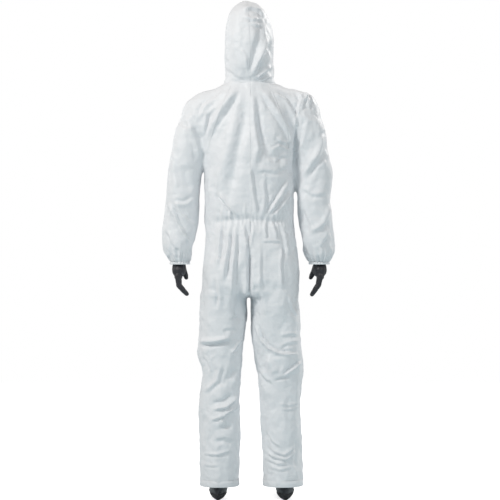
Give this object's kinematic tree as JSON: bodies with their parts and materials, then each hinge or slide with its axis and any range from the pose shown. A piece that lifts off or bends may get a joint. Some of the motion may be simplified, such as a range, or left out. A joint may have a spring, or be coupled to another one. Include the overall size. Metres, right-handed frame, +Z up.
{
  "type": "chemical protective suit",
  "caption": "Hooded white chemical protective coverall with elasticated waist, cuffs and hood, front zip under a storm flap, black gloves and black boots.",
  "frame": {"origin": "centre of the wearer's neck at the neck seam", "axes": "+Z up along the standing wearer, the zip faces -Y, the wearer's left is +X"},
  "size_m": [0.6382, 0.3506, 1.842],
  "materials": {
    "white_laminate": "matte",
    "seam_tape": "satin",
    "elastic": "matte",
    "zip_tape": "matte",
    "zip_plastic": "satin",
    "adhesive_liner": "satin",
    "glove_rubber": "satin",
    "boot_rubber": "satin"
  },
  "bodies": {
    "torso": {"back_panel_left": "white_laminate", "back_panel_right": "white_laminate", "front_panel_left": "white_laminate", "front_panel_right": "white_laminate", "back_seam_binding": "seam_tape", "waist_elastic": "elastic", "neck_band": "white_laminate", "armhole_binding_left": "seam_tape", "armhole_binding_right": "seam_tape", "crotch_gusset": "white_laminate", "size_label": "seam_tape", "zipper_tape_left": "zip_tape", "zipper_tape_right": "zip_tape", "zipper_teeth_left": "zip_plastic", "zipper_teeth_right": "zip_plastic", "zipper_bottom_stop": "zip_plastic", "flap_seam_strip": "seam_tape"},
    "hood": {"hood_panel_left": "white_laminate", "hood_panel_right": "white_laminate", "face_opening_elastic": "elastic", "hood_seam_binding": "seam_tape"},
    "flap": {"storm_flap": "white_laminate", "flap_adhesive_strip": "adhesive_liner"},
    "slider": {"zipper_slider": "zip_plastic", "zipper_pull_tab": "zip_plastic"},
    "upper_arm_left": {"upper_sleeve_left": "white_laminate"},
    "forearm_left": {"lower_sleeve_left": "white_laminate", "cuff_elastic_left": "elastic"},
    "hand_left": {"glove_left": "glove_rubber", "glove_cuff_bead_left": "glove_rubber"},
    "thigh_left": {"upper_leg_left": "white_laminate"},
    "shin_left": {"lower_leg_left": "white_laminate", "ankle_hem_left": "white_laminate"},
    "foot_left": {"boot_upper_left": "boot_rubber", "boot_sole_left": "boot_rubber"},
    "upper_arm_right": {"upper_sleeve_right": "white_laminate"},
    "forearm_right": {"lower_sleeve_right": "white_laminate", "cuff_elastic_right": "elastic"},
    "hand_right": {"glove_right": "glove_rubber", "glove_cuff_bead_right": "glove_rubber"},
    "thigh_right": {"upper_leg_right": "white_laminate"},
    "shin_right": {"lower_leg_right": "white_laminate", "ankle_hem_right": "white_laminate"},
    "foot_right": {"boot_upper_right": "boot_rubber", "boot_sole_right": "boot_rubber"}
  },
  "joints": [
    {"name": "hood_tip", "type": "hinge", "parent": "torso", "child": "hood", "pos_m": [0, 0.07, 0.0035], "axis": [-1, 0, 0], "range_deg": [0, 75]},
    {"name": "flap_open", "type": "hinge", "parent": "torso", "child": "flap", "pos_m": [0.031, -0.10698, -0.00758], "axis": [0, 0.0485, 0.9988], "range_deg": [0, 90]},
    {"name": "zip_slide", "type": "slide", "parent": "torso", "child": "slider", "axis": [0, -0.0485, -0.9988], "range_m": [0, 0.5]},
    {"name": "shoulder_left", "type": "hinge", "parent": "torso", "child": "upper_arm_left", "pos_m": [0.181, 0, -0.096], "axis": [-1, 0, 0], "range_deg": [-40, 90]},
    {"name": "elbow_left", "type": "hinge", "parent": "upper_arm_left", "child": "forearm_left", "pos_m": [0.246, 0, -0.394], "axis": [-1, 0, 0], "range_deg": [0, 80]},
    {"name": "glove_off_left", "type": "slide", "parent": "forearm_left", "child": "hand_left", "axis": [0, 0, -1], "range_m": [0, 0.06]},
    {"name": "hip_left", "type": "hinge", "parent": "torso", "child": "thigh_left", "pos_m": [0.097, 0, -0.65], "axis": [-1, 0, 0], "range_deg": [-15, 75]},
    {"name": "knee_left", "type": "hinge", "parent": "thigh_left", "child": "shin_left", "pos_m": [0.107, 0, -1.03], "axis": [1, 0, 0], "range_deg": [0, 90]},
    {"name": "boot_off_left", "type": "slide", "parent": "shin_left", "child": "foot_left", "axis": [0, 0, -1], "range_m": [0, 0.1]},
    {"name": "shoulder_right", "type": "hinge", "parent": "torso", "child": "upper_arm_right", "pos_m": [-0.181, 0, -0.096], "axis": [-1, 0, 0], "range_deg": [-40, 90]},
    {"name": "elbow_right", "type": "hinge", "parent": "upper_arm_right", "child": "forearm_right", "pos_m": [-0.246, 0, -0.394], "axis": [-1, 0, 0], "range_deg": [0, 80]},
    {"name": "glove_off_right", "type": "slide", "parent": "forearm_right", "child": "hand_right", "axis": [0, 0, -1], "range_m": [0, 0.06]},
    {"name": "hip_right", "type": "hinge", "parent": "torso", "child": "thigh_right", "pos_m": [-0.097, 0, -0.65], "axis": [-1, 0, 0], "range_deg": [-15, 75]},
    {"name": "knee_right", "type": "hinge", "parent": "thigh_right", "child": "shin_right", "pos_m": [-0.107, 0, -1.03], "axis": [1, 0, 0], "range_deg": [0, 90]},
    {"name": "boot_off_right", "type": "slide", "parent": "shin_right", "child": "foot_right", "axis": [0, 0, -1], "range_m": [0, 0.1]}
  ]
}
